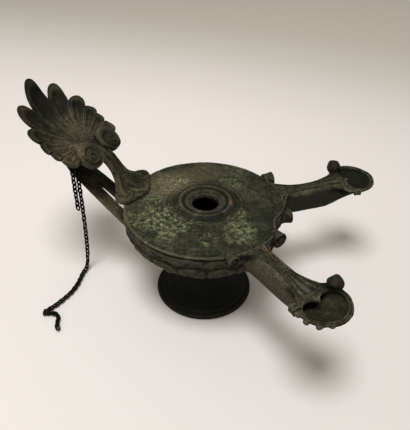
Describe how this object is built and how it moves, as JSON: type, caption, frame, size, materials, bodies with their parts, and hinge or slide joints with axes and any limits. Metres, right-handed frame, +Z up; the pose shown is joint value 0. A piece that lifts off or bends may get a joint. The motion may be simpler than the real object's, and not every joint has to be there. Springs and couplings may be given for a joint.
{
  "type": "roman oil lamp",
  "caption": "Bronze footed oil lamp with round reservoir, twin open-cupped nozzles, scrolls, a raised palmette handle and a broken hanging chain.",
  "frame": {"origin": "middle of the foot's underside, on the surface the lamp stands on", "axes": "+Z up, +X between the two nozzles, the palmette handle towards -X, +Y towards the left nozzle seen from the handle"},
  "size_m": [0.2225, 0.158, 0.1417],
  "materials": {
    "lamp_bronze": "dark matt patina with green and yellow-green corrosion",
    "handle_bronze": "dark brown-grey matt patina",
    "chain_bronze": "dark matt patina"
  },
  "bodies": {
    "root": {"lamp_body": "lamp_bronze", "handle": "handle_bronze", "chain_long": "chain_bronze", "chain_short": "chain_bronze"}
  },
  "joints": []
}
